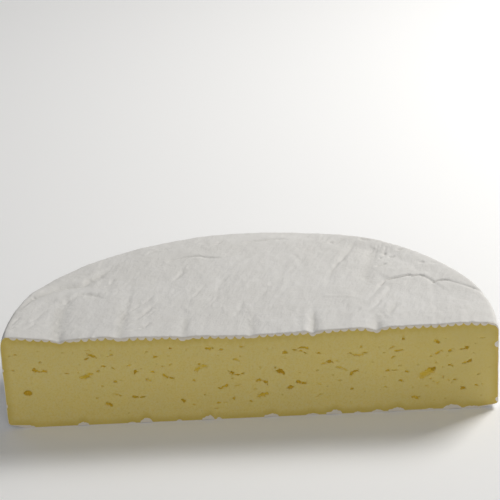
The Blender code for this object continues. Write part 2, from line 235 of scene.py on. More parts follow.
    dict(path=[(-55.2, 35.2), (-50.6, 43.7), (-47.9, 48.6)], depth=(0.45, 0.3), width=1.0, fade=(0.3, 0.3)),
    dict(path=[(-53.2, 19.6), (-50.4, 24.4), (-47.6, 29.6)], depth=(0.45, 0.35), width=0.9, fade=(0.3, 0.3)),
    dict(path=[(-61.0, 28.0), (-57.4, 33.6), (-54.6, 41.0)], depth=(0.35, 0.25), width=1.1, fade=(0.3, 0.3)),
    dict(path=[(-121.2, 13.5), (-117.8, 21.5), (-115.0, 26.5)], depth=(0.45, 0.35), width=0.9, fade=(0.25, 0.3)),
    dict(path=[(-119.2, 30.8), (-116.4, 36.9), (-113.3, 44.6)], depth=(0.45, 0.3), width=0.95, fade=(0.25, 0.3)),
    dict(path=[(-122.2, 8.0), (-119.8, 10.8), (-117.2, 13.4)], depth=(0.45, 0.35), width=0.8, fade=(0.2, 0.3)),
    dict(path=[(-110.4, 18.2), (-106.4, 28.3), (-102.0, 36.5)], depth=(0.4, 0.3), width=1.2, fade=(0.3, 0.3)),
    dict(path=[(-113.0, 8.0), (-109.4, 13.4), (-107.6, 20.0)], depth=(0.3, 0.25), width=1.1, fade=(0.3, 0.3)),
    # the stretch that the wedge hid, finished like the rest
    dict(path=[(-47.0, 84.0), (-38.0, 90.0), (-27.0, 92.0), (-16.0, 88.6), (-8.0, 90.0)], depth=(0.4, 0.32), width=0.9, fade=(0.25, 0.3), step=(0.2, 14)),
    dict(path=[(-20.0, 32.0), (-17.6, 44.0), (-14.0, 58.0), (-11.6, 72.0)], depth=(0.35, 0.45), width=3.4, fade=(0.3, 0.3)),
    dict(path=[(10.0, 40.0), (13.0, 52.0), (17.4, 66.0), (20.0, 80.0)], depth=(0.2, 0.26), width=2.2, fade=(0.3, 0.3)),
    dict(path=[(-4.0, 104.0), (5.0, 108.6), (16.0, 109.6), (25.0, 107.0)], depth=(0.6, 0.5), width=1.4, fade=(0.3, 0.3)),
    dict(path=[(-40.0, 62.0), (-35.6, 70.0), (-33.6, 80.0)], depth=(0.45, 0.3), width=1.3, fade=(0.3, 0.3)),
    dict(path=[(-8.0, 20.0), (-4.0, 29.0), (-2.6, 40.0)], depth=(0.4, 0.25), width=1.3, fade=(0.3, 0.3)),
    dict(path=[(22.0, 92.0), (27.0, 84.0), (28.4, 74.0)], depth=(0.28, 0.2), width=1.4, fade=(0.3, 0.3)),
    dict(path=[(-56.0, 98.0), (-48.0, 103.0), (-39.0, 105.0)], depth=(0.5, 0.4), width=1.4, fade=(0.3, 0.3)),
    dict(path=[(-20.0, 103.0), (-15.0, 108.0), (-12.0, 113.0)], depth=(0.45, 0.3), width=1.2, fade=(0.3, 0.3)),
    dict(path=[(4.0, 34.0), (7.6, 44.0), (12.2, 55.0)], depth=(0.3, 0.22), width=1.3, fade=(0.3, 0.3)),
    dict(path=[(-29.0, 40.0), (-25.2, 50.0), (-20.6, 60.0)], depth=(0.3, 0.22), width=1.3, fade=(0.3, 0.3)),
]


def waver(x, d):
    """A line drawn by hand wavers a little."""
    wx = x + 0.6 * noise2(x / 7.0, d / 7.0, 31) + 0.22 * noise2(x / 2.6, d / 2.6, 32)
    wd = d + 0.6 * noise2(x / 7.0, d / 7.0, 33) + 0.22 * noise2(x / 2.6, d / 2.6, 34)
    return wx, wd


def creases(x, d):
    """Height of all creases, and how deep in one each point lies, as a share that darkens the rind: painted shade in
    the creases.
    """
    rise, inside = np.zeros_like(x), np.zeros_like(x)
    wx, wd = waver(x, d)
    steps = np.zeros_like(x)
    for c in CREASES:
        lip, step = c.get("lip", (0.0, 3.0, 1.0)), c.get("step", (0.0, 0.0))
        reach = 3.2 * c["width"] + (abs(lip[1]) + 2.5 * lip[2] if lip[0] else 0.0) + step[1] + 1.0
        near, s, t = beside(wx, wd, c["path"], reach)
        fade = np.ones_like(t)
        if c["fade"][0]:
            fade *= smooth(t / c["fade"][0])
        if c["fade"][1]:
            fade *= smooth((1 - t) / c["fade"][1])
        depth = c["depth"][0] + (c["depth"][1] - c["depth"][0]) * t
        valley = np.exp(-((np.abs(s) / c["width"]) ** 1.7)) * fade
        rise[near] -= depth * valley
        if lip[0]:
            rise[near] += lip[0] * np.exp(-(((s - lip[1]) / lip[2]) ** 2)) * fade
        if step[0]:
            high = step[0] * smooth((s - 0.1) / 1.3) * smooth((step[1] - s) / (0.8 * step[1]))
            steps[near] = np.maximum(steps[near], high * np.where((t > 0) & (t < 1), np.minimum(1, 1.6 * fade), fade))
        # darken the rind along the crease, by the given share or one that follows the depth: painted shade
        if c["depth"][0] > 0:
            sharp = c.get("painted_shade", min(1.0, c["depth"][0] / 1.1) * min(1.0, 2.4 / c["width"]))
            inside[near] = np.maximum(inside[near], sharp * valley)
    return rise + steps, inside


# the line of the top along the cut, without its grooves: across, rise
CROWN = np.array([
    (-125, 4.7), (-121.7, 4.3), (-117, 3.6), (-109.5, 2.7), (-104.4, 2.0), (-99.3, 1.5), (-94.4, 1.3),
    (-89, 1.2), (-81, 1.3), (-73.5, 1.5), (-68, 1.35), (-63.6, 1.1), (-58, 0.85), (-50, 0.6), (-40, 0.25),
    (-30, 0.1), (-20, -0.25), (-5, -0.9), (8, -0.7), (20, -0.5), (30, -0.3), (38, 0.1), (45, 0.1), (53, 0.5),
    (63, 0.3), (73, 0.4), (83, 0.5), (96, 0.45), (106, 0.85), (113.6, 0.6), (118.6, 0.35), (121.5, 0.0), (125, -0.1),
])


def relief(x, d):
    """Rise of the top above the plateau, and the crease mask."""
    r = np.hypot(x, d)
    round_to = np.degrees(np.arctan2(d, x))
    behind = smooth((round_to - 66.0) / 14.0) * smooth((148.0 - round_to) / 14.0)
    band = smooth((r - (RADIUS - RIM_SLOPE_WIDTH)) / RIM_SLOPE_WIDTH)
    rise = -(RIM_SLOPE_DROP + BACK_SLOPE_DROP * behind) * band
    # outside the folds the skin stands higher, out to the rim
    raised = sum(smooth((round_to - a) / 12.0) * smooth((b - round_to) / 12.0) for a, b in RIM_RAISED)
    rise += RIM_RAISE * raised * smooth((r - (INNER - RIM_RAISE_WIDTH)) / RIM_RAISE_WIDTH)
    # the line of the cut sinks back into the plateau; its swollen left end follows the rim
    left = smooth((-x - 60.0) / 30.0)
    seen = x * (1 - left) - r * left
    middle = np.exp(-((d / 34.0) ** 2))
    end = 0.72 * np.exp(-((d / 20.0) ** 2)) + 0.28 * smooth((64.0 - d) / 14.0)
    rise += np.interp(seen, CROWN[:, 0], CROWN[:, 1]) * (middle * (1 - left) + end * left)
    # soft swells of the whole top
    soft = smooth(d / 12.0)
    rise += soft * (0.40 * noise2(x / 34.0 + 3, d / 30.0, 1) + 0.28 * noise2(x / 15.0, d / 17.0, 2))
    lines, inside = creases(x, d)
    rise += lines
    # fine wrinkles that run mostly front to back, leaning to the right
    across, along = 0.91 * x - 0.41 * d, 0.41 * x + 0.91 * d
    patches = smooth(0.55 + 1.3 * noise2(x / 24.0, d / 24.0, 5))
    ridged = 1.0 - np.abs(fractal(across / 6.0, along / 15.0, 6, 2)) * 3.0
    rise += 0.24 * patches * np.clip(ridged, 0, 1) ** 2
    rise += 0.19 * noise2(across / 4.2, along / 8.0, 8) + 0.12 * noise2(across / 2.6, along / 4.6, 9)
    # the skin is pressed down along the knife's edge
    rise -= 0.30 * np.clip(1.0 - d / 0.7, 0, 1) ** 2
    return rise, inside


def wobble(angle):
    degrees = np.degrees(angle)
    full = sum(smooth((degrees - a) / (b - a)) * smooth((d - degrees) / (d - c)) for a, b, c, d in FULLER_SPANS)
    return 1.0 + 0.0016 * np.sin(3 * angle + 0.5) + 0.0011 * np.sin(7 * angle) + FULLER * full


def channels(x):
    """Depth of the rack's channels in the base."""
    depth = np.zeros_like(x)
    for k in range(CHANNEL_COUNT):
        off = (x - (CHANNEL_FIRST + k * RACK_PITCH)) / CHANNEL_HALF
        depth = np.maximum(depth, CHANNEL_DEPTH * np.sqrt(np.clip(1 - off**2, 0, 1)))
    return depth


def lattice(step, x0, x1, z0, z1):
    """Points of a triangular grid, very slightly shaken."""
    xs = np.arange(x0, x1, step)
    zs = np.arange(z0, z1, step * 0.866)
    X, Z = np.meshgrid(xs, zs)
    X = X + (np.arange(len(zs)) % 2)[:, None] * step / 2
    X = X + step * 0.10 * (rng.random(X.shape) - 0.5)
    Z = Z + step * 0.10 * (rng.random(Z.shape) - 0.5)
    return X.ravel(), Z.ravel()


def adopt(out_v, orig_v, ring_ids, place):
    """Indices in the whole mesh for a triangulation's points; place makes a new one."""
    global points, count
    ids, fresh = np.empty(len(out_v), int), []
    for i, (co, origin) in enumerate(zip(out_v, orig_v)):
        old = [o for o in origin if o < len(ring_ids)]
        if old:
            ids[i] = ring_ids[min(old)]
        else:
            ids[i] = count + len(fresh)
            fresh.append((co[0], co[1]))
    fresh = np.array(fresh)
    new_points, new_deep = place(fresh[:, 0], fresh[:, 1])
    points = np.vstack([points, new_points])
    deep.append(new_deep)
    count += len(fresh)
    return ids


def within(out_f, orig_f, outline=0):
    """Triangles that lie in one of the given outlines, not in a bay outside it."""
    return np.array([f for f, o in zip(out_f, orig_f) if outline in o], int)


# ---------------------------------------------------------------- top and rim
edge_angle = np.linspace(0, math.pi, AROUND + 1)
M = len(edge_angle)
edge_x = INNER * np.cos(edge_angle) * wobble(edge_angle)
edge_d = INNER * np.sin(edge_angle) * wobble(edge_angle)
edge_d[-1] = 0.0
edge_rise, edge_crease = relief(edge_x, edge_d)
cut_x = np.linspace(edge_x[-1], edge_x[0], 500)[1:-1]
cut_rise, cut_crease = relief(cut_x, 0 * cut_x)
points = np.vstack([
    np.stack([edge_x, edge_d, HEIGHT + edge_rise], -1),
    np.stack([cut_x, 0 * cut_x, HEIGHT + cut_rise], -1),
])
deep = [edge_crease, cut_crease]
count = len(points)
edge = np.arange(M)
top_edge = np.concatenate([[M - 1], np.arange(M, M + len(cut_x)), [0]])

# points close together where the top is creased, wider apart elsewhere
FINE_TOP, PLAIN_TOP = 0.55, 1.15
X, D = lattice(FINE_TOP, -125, 125, 0, 125)
wx, wd = waver(X, D)
creased = np.full(len(X), False)
for c in CREASES:
    if abs(c["depth"][0]) < 0.3:
        continue
    near, s, _ = beside(wx, wd, c["path"], 1.5 * c["width"] + 1.0)
    creased[near[np.abs(s) < min(2.6, 1.2 * c["width"] + 0.5)]] = True
inside = (np.hypot(X, D) < INNER * wobble(np.arctan2(D, X)) - 0.9) & (D > 2.0)
fine_points = np.stack([X, D], -1)[creased & inside]
cells = {(int(a), int(b)) for a, b in fine_points / 0.9}
X, D = lattice(PLAIN_TOP, -125, 125, 0, 125)
inside = (np.hypot(X, D) < INNER * wobble(np.arctan2(D, X)) - 0.9) & (D > 2.2)
free = np.array([(int(a), int(b)) not in cells for a, b in np.stack([X, D], -1) / 0.9])
plain_points = np.stack([X, D], -1)[inside & free]
rows = [np.stack([np.arange(-INNER + 1.2 + d, INNER - 1.2 - d, 0.62), 0 * np.arange(-INNER + 1.2 + d, INNER - 1.2 - d, 0.62) + d], -1) for d in (0.28, 0.62, 1.02, 1.55)]
outline = np.concatenate([edge, top_edge[1:-1]])
out_v, _, out_f, orig_v, _, orig_f = delaunay_2d_cdt(
    [Vector(p) for p in np.vstack([points[outline][:, :2], fine_points, plain_points] + rows)],
    [],
    [list(range(len(outline)))],
    1,
    1e-5,
    True,
)


def on_top(x, d):
    rise, inside = relief(x, d)
    return np.stack([x, d, HEIGHT + rise], -1), inside


top_ids = adopt(out_v, orig_v, outline, on_top)
RIND, PASTE = 0, 1
groups = [("top", top_ids[within(out_f, orig_f)], RIND)]

SHOULDER_RINGS, SIDE_RINGS, CORNER_RINGS, BEVEL_RINGS = 7, 14, 4, 3
profile = []
for i in range(1, SHOULDER_RINGS + 1):
    a = math.pi / 2 * i / SHOULDER_RINGS
    profile.append((SHOULDER_WIDTH * (1 - math.sin(a)), HEIGHT - SHOULDER_DROP * (1 - math.cos(a)), math.cos(a), a / (math.pi / 2)))
side_top, side_low = HEIGHT - SHOULDER_DROP, FOOT_RISE + FOOT_ROUND
for i in range(1, SIDE_RINGS + 1):
    t = i / SIDE_RINGS
    profile.append((SIDE_TAPER * t**1.5, side_top + (side_low - side_top) * t, 0.0, 1.0))
bevel_top = FOOT_RISE * (1 - FOOT_ROUND / FOOT_WIDTH)
for i in range(1, CORNER_RINGS + 1):
    t = i / CORNER_RINGS
    bend = side_low * (1 - t) ** 2 + 2 * t * (1 - t) * FOOT_RISE + t * t * bevel_top
    profile.append((SIDE_TAPER + FOOT_ROUND * t * t, bend, 0.0, 1.0 - 0.3 * t))
for i in range(1, BEVEL_RINGS + 1):
    t = i / BEVEL_RINGS
    profile.append((SIDE_TAPER + FOOT_ROUND + (FOOT_WIDTH - FOOT_ROUND) * t, bevel_top * (1 - t), 0.0, 0.7 * (1 - t)))

rings = [edge]
along_rim = edge_angle * RADIUS
lines_edge, _ = creases(edge_x, edge_d)
for inwards, height, keep, side in profile:
    # the side is pressed by its hoop and cloth: soft dents, upright wrinkles, faint bands
    skin = 0.34 * noise2(along_rim / 21.0, np.full(M, height / 17.0), 11)
    skin = skin + 0.20 * noise2(along_rim / 7.0, np.full(M, height / 12.0), 12)
    skin = skin + 0.15 * noise2(along_rim / 2.6, np.full(M, height / 9.0), 13)
    skin = skin + 0.10 * noise2(along_rim / 30.0, np.full(M, height / 2.4), 14) - 0.25
    r = (RADIUS - inwards + side * skin) * wobble(edge_angle)
    z = height + edge_rise * keep
    if keep > 0.05:  # the creases run out over the shoulder
        lines, _ = creases(r * np.cos(edge_angle), r * np.sin(edge_angle))
        z = z + (lines - lines_edge) * math.sqrt(keep)
    if height < FOOT_RISE:
        z = z + channels(r * np.cos(edge_angle)) * (1 - height / FOOT_RISE) ** 2
    d = np.maximum(0.0, r * np.sin(edge_angle))
    d[0] = d[-1] = 0.0
    points = np.vstack([points, np.stack([r * np.cos(edge_angle), d, z], -1)])
    deep.append(np.zeros(M))
    rings.append(np.arange(count, count + M))
    count += M

ring_quads = []
for a, b in zip(rings, rings[1:]):
    ring_quads.append(np.stack([a[:-1], b[:-1], b[1:], a[1:]], -1))
groups.append(("rim", np.concatenate(ring_quads), RIND))

# ---------------------------------------------------------------- cut face
right_side = [ring[0] for ring in rings[1:]]
left_side = [ring[-1] for ring in rings[1:]]
upper = np.concatenate([left_side[SHOULDER_RINGS - 1 :: -1], top_edge, right_side[:SHOULDER_RINGS]]).astype(int)
top_x, top_z = points[upper][:, 0], points[upper][:, 2]
foot_left, foot_right = points[left_side[-1]], points[right_side[-1]]

# lower edge of the face, fine enough for the channels
n_low = 420
low_x = np.linspace(foot_left[0], foot_right[0], n_low + 1)[1:-1]
low_z = channels(low_x)
low_ids = np.arange(count, count + len(low_x))
points = np.vstack([points, np.stack([low_x, 0 * low_x, low_z], -1)])
deep.append(np.zeros(len(low_x)))
count += len(low_x)

outline = np.concatenate(
    [[left_side[-1]], low_ids, [right_side[-1]], right_side[-2::-1], top_edge[::-1], left_side[:-1]]
).astype(int)

GROOVES = (-95.2, -64.8, -30.3, 0.9, 32.7, 63.6)


def teeth_places():
    """Where the paste comes up in points between the white cushions of the rind."""
    places, x = [], -119.85
    while x < 121:
        places.append(x + rng.normal(0, 0.12))
        x += 4.013 if x < -28 else 4.089
    return np.array(places)


TEETH = teeth_places()
BLUNT = 0.14 * rng.random(len(TEETH))
for i, place in enumerate(TEETH):
    for g in GROOVES:
        BLUNT[i] = max(BLUNT[i], 0.9 * math.exp(-(((place - g) / 3.0) ** 4)))
    if -90.5 < place < -86.5:
        BLUNT[i] = 0.7
CUSHION = 1.72 + 0.15 * rng.standard_normal(len(TEETH) + 1)


def rind_top(x):
    """Thickness of the white under the top, as the cut shows it: cushions between teeth."""
    right = np.clip(np.searchsorted(TEETH, x), 1, len(TEETH) - 1)
    a, b = TEETH[right - 1], TEETH[right]
    share = np.clip((x - a) / (b - a), 0, 1)
    full = CUSHION[right] * np.where(x < -96, 0.8, 1.0)
    blunt = BLUNT[right - 1] * (1 - share) + BLUNT[right] * share
    thin = 0.14 + (full - 0.14) * 0.8 * blunt
    round_off = (1 - np.abs(2 * share - 1) ** 2.8) ** 1.25
    t = thin + (full - thin) * round_off
    for g, less in ((-94.6, 0.5), (63.6, 0.1)):
        t *= 1 - less * np.exp(-(((x - g) / 4.5) ** 4))
    # thicker where it turns down at the right end
    t += 0.9 * smooth((x - 117.5) / 4.5)
    return np.maximum(t, 0.15) + 0.04 * noise2(x / 0.8, x * 0, 41)


def rind_side(z, right):
    t = 0.27 + 0.16 * noise2(z / 2.3, z * 0, 43 if right else 44)
    bulges = ((36.0, 1.7, 1.7), (4.6, 1.3, 1.2)) if right else ((33.5, 1.0, 0.5), (13.0, 1.2, 0.6), (44.0, 1.2, 0.3))
    for at, half, size in bulges:
        t = t + size * np.sqrt(np.clip(1 - ((z - at) / half) ** 2, 0, 1))
    return np.maximum(t, 0.18)


# white arches above the base: place, half width, height
MOUNDS = (
    (-114.2, 3.6, 1.7), (-86.2, 3.0, 2.0), (-61.6, 2.4, 0.9), (-53.9, 3.0, 2.9), (-37.4, 1.6, 1.1),
    (-22.2, 2.7, 2.7), (-17.2, 1.5, 1.4), (10.0, 3.3, 2.1), (30.2, 3.6, 1.2), (42.2, 3.2, 2.7),
    (53.2, 2.0, 1.1), (63.4, 3.2, 1.7), (73.6, 3.8, 2.4), (89.8, 2.4, 1.2), (101.2, 5.0, 2.7), (111.0, 4.6, 1.5),
)


def rind_base(x):
    t = 0.34 + 0.14 * noise2(x / 2.0, x * 0, 45)
    t = t + 0.35 * smooth((x - 50.0) / 20.0)
    for at, half, size in MOUNDS:
        uneven = 1 + 0.30 * noise2(x / 1.3, x * 0, 46) + 0.22 * noise2(x / 0.55, x * 0, 47)
        t = np.maximum(t, size * np.clip(1 - ((x - at) / half) ** 2, 0, 1) ** 0.6 * uneven)
    return np.maximum(t, channels(x) + 0.35 + 0.9 * (channels(x) > 0.05))


# outline of the paste, a loop inside the outline of the face
paste = []
xs = np.arange(-124.5, 124.5, 0.22)
top_line = np.interp(xs, top_x, top_z) - rind_top(xs)
side_z = np.array([points[i][2] for i in right_side])
side_xr = np.array([points[i][0] for i in right_side])
side_xl = np.array([points[i][0] for i in left_side])
order = np.argsort(side_z)
side_zs, side_xr, side_xl = side_z[order], side_xr[order], side_xl[order]
zs = np.arange(2.2, 41.0, 0.3)
right_line = np.interp(zs, side_zs, side_xr) - rind_side(zs, True)
left_line = np.interp(zs, side_zs, side_xl) + rind_side(zs, False)
# top: keep only what lies inside the sides
corner_r, corner_l = right_line[-1], left_line[-1]
keep = (xs < corner_r - 0.25) & (xs > corner_l + 0.25)
xs_top, zs_top = xs[keep], top_line[keep]
xb = np.arange(foot_left[0] + 1.0, foot_right[0] - 1.0, 0.3)
base_line = rind_base(xb)
for x, z in zip(xb, base_line):
    paste.append((x, z))
n_base = len(paste)
for x, z in zip(right_line, zs):
    paste.append((x, z))
for z in np.arange(41.6, min(zs_top[-1], np.interp(corner_r, top_x, top_z)) - 0.4, 0.6):
    paste.append((corner_r, z))
for x, z in zip(xs_top[::-1], zs_top[::-1]):
    paste.append((x, z))
for z in np.arange(min(zs_top[0], np.interp(corner_l, top_x, top_z)) - 0.4, 41.4, -0.6):
    paste.append((corner_l, z))
for x, z in zip(left_line[::-1], zs[::-1]):
    paste.append((x, z))
paste = np.array(paste)

# Eyes and tears of the paste: across, up, width, height, depth, tilt in degrees, and
# how much the slit bows (plus: its ends turn up). Shallow wide ones are torn patches.
EYES = [
    (-117.6, 42.2, 1.9, 1.0, 0.9, 0, 0), (-106.3, 43.6, 2.2, 0.8, 0.4, 0, 0), (-105.6, 37.2, 1.5, 1.1, 0.8, 0, 0),
    (-119.4, 33.4, 1.1, 0.9, 0.7, 0, 0), (-108.3, 32.8, 3.4, 1.6, 1.6, -22, 0), (-106.2, 32.0, 3.2, 0.9, 1.0, -14, 0),
    (-103.4, 32.1, 2.8, 1.2, 1.2, -6, 0), (-93.6, 42.2, 2.4, 0.9, 0.5, 15, 0), (-92.5, 30.2, 1.6, 0.9, 1.0, 0, 0),
    (-112.9, 20.0, 4.5, 3.0, 3.0, 0, 0), (-86.7, 30.6, 0.9, 0.8, 0.7, 0, 0), (-80.9, 42.7, 3.0, 1.0, 0.5, 0, -0.1),
    (-79.3, 39.7, 4.6, 1.5, 1.6, -25, 0), (-82.2, 37.9, 2.6, 1.1, 1.1, 35, 0), (-85.4, 35.0, 1.4, 0.9, 0.4, 0, 0),
    (-83.4, 27.8, 6.2, 2.8, 0.9, 10, 0), (-81.0, 29.2, 4.4, 1.6, 0.8, 6, 0), (-82.8, 27.6, 2.6, 1.4, 1.4, 8, 0),
    (-76.8, 30.8, 1.7, 1.0, 0.9, 0, 0), (-73.6, 33.5, 2.4, 0.8, 0.9, 0, 0), (-69.6, 42.2, 1.4, 0.8, 0.6, 30, 0),
    (-69.4, 39.8, 1.8, 0.8, 0.8, -10, 0), (-71.2, 39.0, 1.2, 0.7, 0.5, 20, 0), (-68.9, 32.0, 3.0, 0.8, 0.8, -42, 0),
    (-68.4, 24.4, 2.2, 1.2, 1.0, 0, 0), (-65.6, 25.2, 1.8, 1.0, 0.5, 25, 0), (-68.1, 17.0, 4.2, 1.1, 0.6, -15, 0),
    (-66.4, 16.4, 1.4, 0.8, 0.8, -20, 0), (-72.9, 11.9, 2.4, 1.6, 1.3, -20, 0), (-71.8, 11.2, 2.4, 1.7, 2.0, -30, 0),
    (-57.8, 29.8, 2.5, 1.4, 1.7, 4, -0.15), (-58.0, 29.1, 1.2, 1.1, 1.7, 0, 0), (-51.8, 40.5, 2.2, 0.8, 0.5, 35, 0),
    (-47.8, 37.5, 2.4, 1.1, 1.1, 6, 0.15), (-49.1, 29.0, 2.6, 1.1, 1.0, -10, -0.15), (-52.4, 24.8, 2.0, 1.2, 1.1, -10, 0),
    (-51.0, 24.0, 2.6, 1.4, 0.6, 20, 0), (-43.9, 26.9, 1.5, 1.8, 1.0, -50, 0), (-42.6, 25.9, 3.0, 1.3, 1.2, -25, 0),
    (-40.0, 25.0, 3.4, 1.0, 1.1, -16, 0.1), (-39.7, 41.9, 1.8, 1.2, 1.5, 0, 0), (-59.0, 15.1, 3.4, 1.6, 1.7, -8, 0),
    (-55.4, 14.9, 3.2, 1.2, 1.2, 8, 0), (-34.8, 11.9, 2.6, 1.5, 2.0, -35, 0), (-28.8, 23.1, 2.2, 1.2, 0.9, -8, 0),
    (-26.4, 29.4, 5.0, 2.4, 0.8, 30, 0), (-23.6, 31.0, 4.6, 2.0, 0.8, -6, 0), (-25.6, 32.2, 2.2, 1.2, 0.8, 0, 0),
    (-23.8, 14.5, 1.5, 0.9, 0.8, 0, 0), (-20.6, 40.8, 4.8, 1.5, 1.2, -4, 0.06), (-20.8, 42.6, 3.4, 0.9, 0.4, 0, 0),
    (-14.4, 39.8, 2.4, 1.2, 1.1, 8, -0.2), (-4.0, 41.1, 2.4, 1.0, 0.8, 6, 0), (-7.4, 34.0, 2.6, 1.2, 0.8, -20, 0),
    (-5.8, 33.4, 2.0, 0.9, 0.6, -25, 0), (-4.9, 35.6, 0.9, 0.8, 0.6, 0, 0), (-9.4, 26.4, 2.0, 1.5, 2.1, -12, 0),
    (-6.8, 25.3, 3.4, 1.0, 1.1, -6, 0.12), (-4.0, 25.9, 2.6, 0.8, 0.9, 12, 0), (-11.0, 27.5, 1.8, 0.6, 0.8, -35, 0),
    (-9.4, 23.2, 1.0, 1.0, 0.6, 0, 0), (-15.9, 17.9, 2.8, 1.3, 1.5, 0, 0), (-12.6, 19.2, 2.8, 1.7, 1.5, 38, 0),
    (-14.2, 18.6, 2.4, 0.9, 1.1, 25, 0), (-7.5, 18.9, 4.2, 1.0, 0.6, 12, 0), (-9.2, 11.7, 1.5, 1.1, 1.1, -30, 0),
    (-16.8, 9.6, 2.6, 1.0, 0.8, 5, 0), (-13.8, 9.5, 2.2, 0.9, 0.5, 0, 0), (-0.6, 9.7, 2.2, 1.1, 0.8, -10, 0),
    (4.2, 21.6, 3.0, 1.5, 1.5, 4, -0.15), (7.4, 20.2, 3.2, 1.3, 1.5, -48, 0), (2.4, 21.6, 1.8, 0.7, 0.8, 0, 0),
    (5.4, 13.2, 4.6, 2.2, 1.1, 0, 0), (7.6, 13.6, 2.6, 1.6, 1.1, 12, 0), (3.6, 12.2, 2.4, 1.4, 0.9, -10, 0),
    (12.3, 28.2, 1.3, 1.0, 0.8, 0, 0), (14.6, 26.2, 3.2, 2.4, 2.8, 0, 0), (16.2, 25.2, 2.4, 1.6, 2.0, -30, 0),
    (17.7, 36.5, 2.6, 1.5, 1.3, -4, -0.15), (19.6, 16.6, 2.7, 1.9, 1.9, 0, 0), (21.0, 17.0, 1.8, 1.0, 1.0, 10, 0),
    (22.6, 37.8, 2.6, 0.9, 1.1, -4, 0), (26.6, 38.9, 5.2, 1.1, 1.3, 0, -0.09), (28.8, 38.6, 2.2, 1.0, 1.0, -25, 0),
    (25.8, 37.0, 2.4, 1.0, 1.1, -15, 0), (28.0, 35.8, 2.6, 0.9, 1.1, -32, 0), (24.0, 19.6, 3.0, 1.7, 1.9, -12, -0.1),
    (26.6, 18.7, 3.0, 1.4, 1.6, -14, 0), (34.5, 35.5, 2.8, 1.1, 1.1, -8, 0), (34.3, 18.0, 3.2, 1.0, 0.5, -20, 0),
    (33.0, 10.6, 3.0, 1.0, 0.5, 30, 0), (34.6, 11.8, 2.6, 0.9, 0.5, 20, 0), (39.9, 30.2, 3.2, 1.5, 1.9, -6, 0),
    (36.8, 29.5, 3.0, 0.8, 0.9, 8, 0), (43.6, 30.6, 1.6, 1.0, 0.5, -20, 0), (44.6, 26.8, 4.8, 1.3, 0.7, -16, 0),
    (47.4, 25.6, 3.0, 1.0, 0.7, -30, 0), (54.2, 33.4, 7.8, 1.15, 0.8, -4, 0.05), (57.6, 34.4, 3.6, 0.9, 0.8, 10, 0),
    (50.4, 34.6, 2.6, 0.8, 0.8, -12, 0), (55.8, 37.9, 1.2, 1.5, 0.9, 0, 0), (52.6, 24.2, 3.4, 1.4, 1.7, 24, 0),
    (50.6, 22.8, 2.2, 1.6, 1.4, 40, 0), (50.7, 14.2, 2.0, 1.2, 1.3, 0, 0), (68.8, 23.8, 2.4, 1.4, 1.3, 6, 0),
    (72.2, 23.9, 3.8, 0.8, 0.6, 0, 0), (71.4, 36.8, 3.2, 0.9, 0.8, 14, 0), (74.2, 34.8, 3.8, 1.1, 1.2, 4, 0),
    (76.4, 35.2, 1.8, 0.8, 0.8, 15, 0), (71.9, 31.4, 2.6, 1.1, 1.0, 30, 0), (75.6, 17.7, 2.3, 1.5, 1.2, 12, 0),
    (77.1, 41.4, 1.4, 1.5, 1.3, 0, 0), (77.5, 43.0, 0.8, 0.9, 0.7, 0, 0), (78.4, 22.7, 2.5, 1.1, 1.1, -4, 0),
    (81.4, 8.0, 3.0, 1.3, 0.9, 4, 0), (83.4, 7.6, 2.4, 1.8, 1.2, -20, 0), (87.2, 20.8, 6.6, 4.0, 0.8, 24, 0),
    (90.2, 22.5, 5.4, 3.5, 1.0, 12, 0), (86.0, 18.8, 3.6, 1.6, 0.7, -10, 0), (91.6, 23.4, 2.9, 1.9, 2.5, 16, 0), (92.2, 23.9, 1.7, 1.2, 2.9, 10, 0),
    (89.6, 23.6, 2.0, 1.4, 1.3, -30, 0), (94.4, 38.5, 1.8, 1.4, 1.9, 0, 0), (93.6, 39.4, 3.0, 2.0, 0.8, 10, 0),
    (94.0, 32.6, 2.4, 1.2, 1.0, 28, 0), (96.0, 33.6, 2.6, 0.8, 0.7, -10, 0), (92.0, 16.6, 2.2, 0.9, 0.5, -20, 0),
    (94.0, 15.8, 2.4, 1.0, 0.6, 15, 0), (96.6, 18.8, 1.1, 0.9, 0.7, 0, 0), (100.4, 33.6, 2.2, 1.4, 1.2, 24, 0),
    (101.6, 34.4, 1.6, 0.7, 0.7, 10, 0), (100.0, 25.5, 1.6, 1.2, 1.2, 0, 0), (101.2, 25.1, 1.6, 0.7, 0.8, -10, 0),
    (102.6, 17.0, 2.4, 1.1, 1.1, 0, 0), (101.0, 15.4, 1.0, 1.0, 0.5, 40, 0), (106.6, 11.8, 3.0, 1.7, 2.0, 6, -0.1),
    (108.8, 34.8, 2.2, 1.4, 2.0, 20, 0), (106.2, 34.1, 3.2, 0.7, 0.8, 2, 0), (110.1, 27.1, 2.6, 1.5, 2.1, 10, 0),
    (107.6, 26.3, 3.2, 0.9, 0.9, 12, 0), (113.3, 13.3, 1.8, 1.1, 1.0, 0, 0), (116.8, 40.0, 3.8, 0.9, 0.6, 6, 0),
    (113.0, 37.2, 0.9, 0.8, 0.5, 0, 0), (90.4, 18.2, 1.0, 0.7, 0.6, -30, 0),
]
# pores too small to list, scattered clear of the others
pores = []
while len(pores) < 80:
    x, z = rng.uniform(-121, 122), rng.uniform(5, 44)
    if all((x - e[0]) ** 2 + (z - e[1]) ** 2 > (e[2] / 2 + 1.6) ** 2 for e in list(EYES) + pores):
        size = rng.uniform(0.5, 1.15)
        pores.append((x, z, size * rng.uniform(1.0, 1.7), size * rng.uniform(0.7, 1.0), 0.6 * size, rng.uniform(-30, 30), 0))
eyes = np.array(list(EYES) + pores)
eyes[: len(EYES), 2:4] *= 0.95


